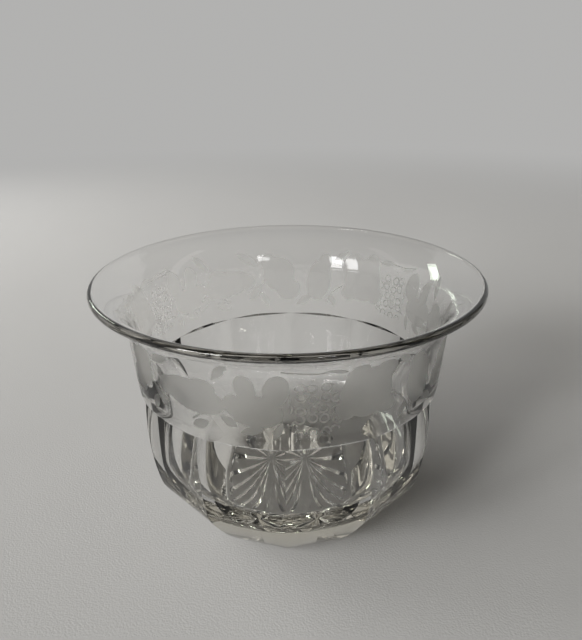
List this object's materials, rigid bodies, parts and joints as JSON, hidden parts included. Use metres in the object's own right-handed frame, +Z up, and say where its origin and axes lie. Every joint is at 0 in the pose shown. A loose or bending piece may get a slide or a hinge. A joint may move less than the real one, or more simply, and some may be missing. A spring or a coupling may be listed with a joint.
{
  "type": "finger bowl",
  "caption": "Clear glass finger bowl with flat-ground flutes, a recessed star-cut base, a plain upper wall for an etched frieze and a flared, rounded lip.",
  "frame": {"origin": "centre of the base, on the surface that the bowl stands on", "axes": "+Z up along the bowl's axis; one ridge between two flutes faces -Y"},
  "size_m": [0.12, 0.12, 0.0843],
  "materials": {
    "glass": "polished clear glass with a faint warm grey tone; an etched, frosted frieze of vine leaves and grapes on the upper wall"
  },
  "bodies": {
    "root": {"bowl": "glass"}
  },
  "joints": []
}
